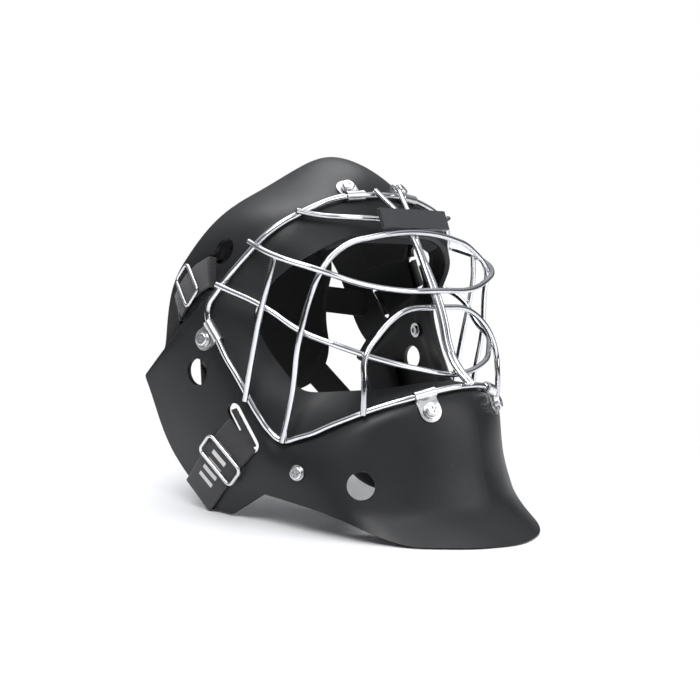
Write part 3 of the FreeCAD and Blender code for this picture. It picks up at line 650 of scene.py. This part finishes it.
CUSHIONS = [
    Cushion("brow_pad"),
    Cushion("crown_pad"),
    *[Cushion(f"{spot}_pad_{side.value}") for spot in ("temple", "cheek") for side in Side],
    Cushion("back_plate_pad", body="back_plate"),
    Cushion("chin_cup", finish=CUP, slot="chin_cup", voxel=0.0012, rounds=4, fill=0.9),
]
STRAPS = [
    Strap("crown_strap"),
    Strap("top_strap", body="back_plate"),
    *[Strap(f"lower_strap_{side.value}", tape=PRINTED_TAPE) for side in Side],
    *[Strap(f"{kind}_{side.value}") for kind in ("upper_strap", "chin_sling") for side in Side],
    *[
        Strap(f"{kind}_{side.value}", crosses=True)
        for kind in ("upper_tail", "lower_tail")
        for side in Side
    ],
]
SOFT_NODES = {piece.node for piece in CUSHIONS} | {piece.node for piece in STRAPS}


# ---------------------------------------------------------------- studio
FLOOR_SIZE = 8.0
FLOOR_FADE = (0.2, 0.5)
FLOOR_COLOUR = (0.93, 0.93, 0.94, 1.0)
FLOOR_ROUGHNESS = 0.28
ROOM_DARK = (0.05, 0.05, 0.055)
ROOM_BRIGHT = (0.72, 0.74, 0.77)
ROOM_SPAN = (0.15, 0.8)
WHITE = (1.0, 1.0, 1.0)
SENSOR_WIDTH = 36.0
AIM = (0.0, 0.0, 0.12)


@dataclass(frozen=True)
class Lamp:
    """A soft square light that points at the mask.

    Attributes:
        name: The light's name.
        place: Where it hangs, in metres.
        size: Its side in metres.
        power: Its power in watts.
    """

    name: str
    place: tuple[float, float, float]
    size: float
    power: float

    def hang(self) -> None:
        """Adds the light to the scene."""
        lamp = bpy.data.lights.new(self.name, "AREA")
        lamp.size = self.size
        lamp.energy = self.power
        holder = bpy.data.objects.new(self.name, lamp)
        holder.location = self.place
        way = Vector(AIM) - Vector(self.place)
        holder.rotation_euler = way.to_track_quat("-Z", "Y").to_euler()
        bpy.context.scene.collection.objects.link(holder)


LAMPS = (
    Lamp("key", (-1.0, -0.6, 1.5), 0.9, 26.0),
    Lamp("fill", (0.5, -1.6, 0.8), 1.2, 12.0),
    Lamp("top", (0.2, 0.4, 1.7), 1.4, 20.0),
)


@dataclass
class Studio:
    """Floor, lights, background and camera.

    Attributes:
        eye: The camera's place.
        right: The picture's right in space.
        up: The picture's up in space.
        lens: Focal length in mm.
    """

    eye: tuple[float, float, float] = (-0.68337, -0.63534, 0.20294)
    right: tuple[float, float, float] = (0.69466, -0.71839, 0.03702)
    up: tuple[float, float, float] = (0.04128, 0.09119, 0.99498)
    lens: float = 65.31

    def fade_to_white(self, tree: NodeTree, shader: bpy.types.Node) -> None:
        """Lets the floor turn into the white background away from the object.

        Args:
            tree: The floor's material tree.
            shader: The floor's shader.
        """
        glow = tree.add("ShaderNodeEmission")
        reach = tree.add("ShaderNodeVectorMath", operation="LENGTH")
        tree.link(tree.add("ShaderNodeTexCoord").outputs["Object"], reach.inputs[0])
        seen = tree.add("ShaderNodeLightPath").outputs["Is Camera Ray"]
        share = tree.math("MULTIPLY", tree.ramp(reach.outputs["Value"], *FLOOR_FADE), seen)
        blended = tree.add("ShaderNodeMixShader")
        tree.link(share, blended.inputs[0])
        tree.link(shader.outputs[0], blended.inputs[1])
        tree.link(glow.outputs[0], blended.inputs[2])
        output = next(node for node in tree.tree.nodes if node.type == "OUTPUT_MATERIAL")
        tree.link(blended.outputs[0], output.inputs["Surface"])

    def surround(self, scene: bpy.types.Scene) -> None:
        """Makes a white background, and a room with dark sides for reflections.

        Args:
            scene: The scene to light.
        """
        world = bpy.data.worlds.new("surround")
        scene.world = world
        world.use_nodes = True
        tree = NodeTree(world.node_tree)
        backdrop = world.node_tree.nodes["Background"]
        way = tree.add("ShaderNodeSeparateXYZ")
        tree.link(tree.add("ShaderNodeTexCoord").outputs["Generated"], way.inputs[0])
        room = tree.mix(tree.ramp(way.outputs[2], *ROOM_SPAN), ROOM_DARK, ROOM_BRIGHT)
        seen = tree.add("ShaderNodeLightPath").outputs["Is Camera Ray"]
        tree.link(tree.mix(seen, room, WHITE), backdrop.inputs["Color"])
        backdrop.inputs["Strength"].default_value = 1.0

    def lay_floor(self) -> None:
        """Lays a pale floor under the mask."""
        low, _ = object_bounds()
        bpy.ops.object.select_all(action="DESELECT")
        bpy.ops.mesh.primitive_plane_add(size=FLOOR_SIZE, location=(0.0, 0.0, low[2]))
        floor = bpy.context.object
        floor.name = "floor"
        pale = bpy.data.materials.new("pale_floor")
        pale.use_nodes = True
        shader = pale.node_tree.nodes["Principled BSDF"]
        shader.inputs["Base Color"].default_value = FLOOR_COLOUR
        shader.inputs["Roughness"].default_value = FLOOR_ROUGHNESS
        self.fade_to_white(NodeTree(pale.node_tree), shader)
        floor.data.materials.append(pale)
        floor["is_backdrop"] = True

    def place_camera(self, scene: bpy.types.Scene) -> None:
        """Places the camera.

        Args:
            scene: The scene to look at.
        """
        lens = bpy.data.cameras.new("camera")
        lens.lens = self.lens
        lens.sensor_width = SENSOR_WIDTH
        camera = bpy.data.objects.new("camera", lens)
        right, up = Vector(self.right).normalized(), Vector(self.up).normalized()
        back = right.cross(up).normalized()
        up = back.cross(right)
        turn = Matrix((right, up, back)).transposed().to_4x4()
        camera.matrix_world = Matrix.Translation(Vector(self.eye)) @ turn
        scene.collection.objects.link(camera)
        scene.camera = camera

    def build(self) -> None:
        """Builds the studio."""
        scene = bpy.context.scene
        scene.view_settings.view_transform = "Standard"
        self.lay_floor()
        for lamp in LAMPS:
            lamp.hang()
        self.surround(scene)
        self.place_camera(scene)


def main() -> None:
    """Builds the scene in order."""
    logging.basicConfig(level=logging.INFO, format="%(message)s")
    HardParts().dress()
    LOG.info("hard parts dressed")
    for cushion in CUSHIONS:
        cushion.build()
    LOG.info("cushions built")
    for strap in STRAPS:
        strap.build()
    LOG.info("straps built")
    Studio().build()
    LOG.info("studio built")
    write_size()


if __name__ == "__main__":
    main()
